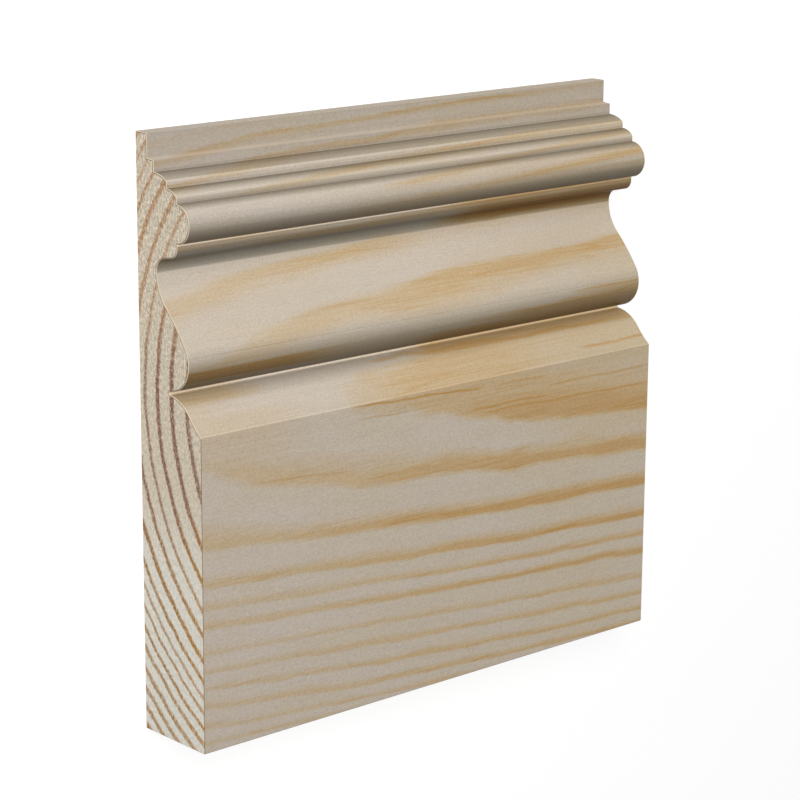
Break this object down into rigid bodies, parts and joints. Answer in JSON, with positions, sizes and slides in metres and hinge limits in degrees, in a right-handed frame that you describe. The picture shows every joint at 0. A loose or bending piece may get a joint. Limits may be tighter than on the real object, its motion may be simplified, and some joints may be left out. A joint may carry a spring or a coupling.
{
  "type": "skirting board length",
  "caption": "Short length of moulded pine skirting board: plain band, stepped rounds, bead, deep ogee and quirked round above a tall plain face, with a flat back and square ends.",
  "frame": {"origin": "centre of the board's flat back, which it lies on", "axes": "+X along the grain, +Y up the board towards its top edge, +Z out of the moulded face"},
  "size_m": [0.1736, 0.169, 0.027],
  "materials": {
    "pine": "planed, unfinished"
  },
  "bodies": {
    "root": {"skirting_board": "pine"}
  },
  "joints": []
}
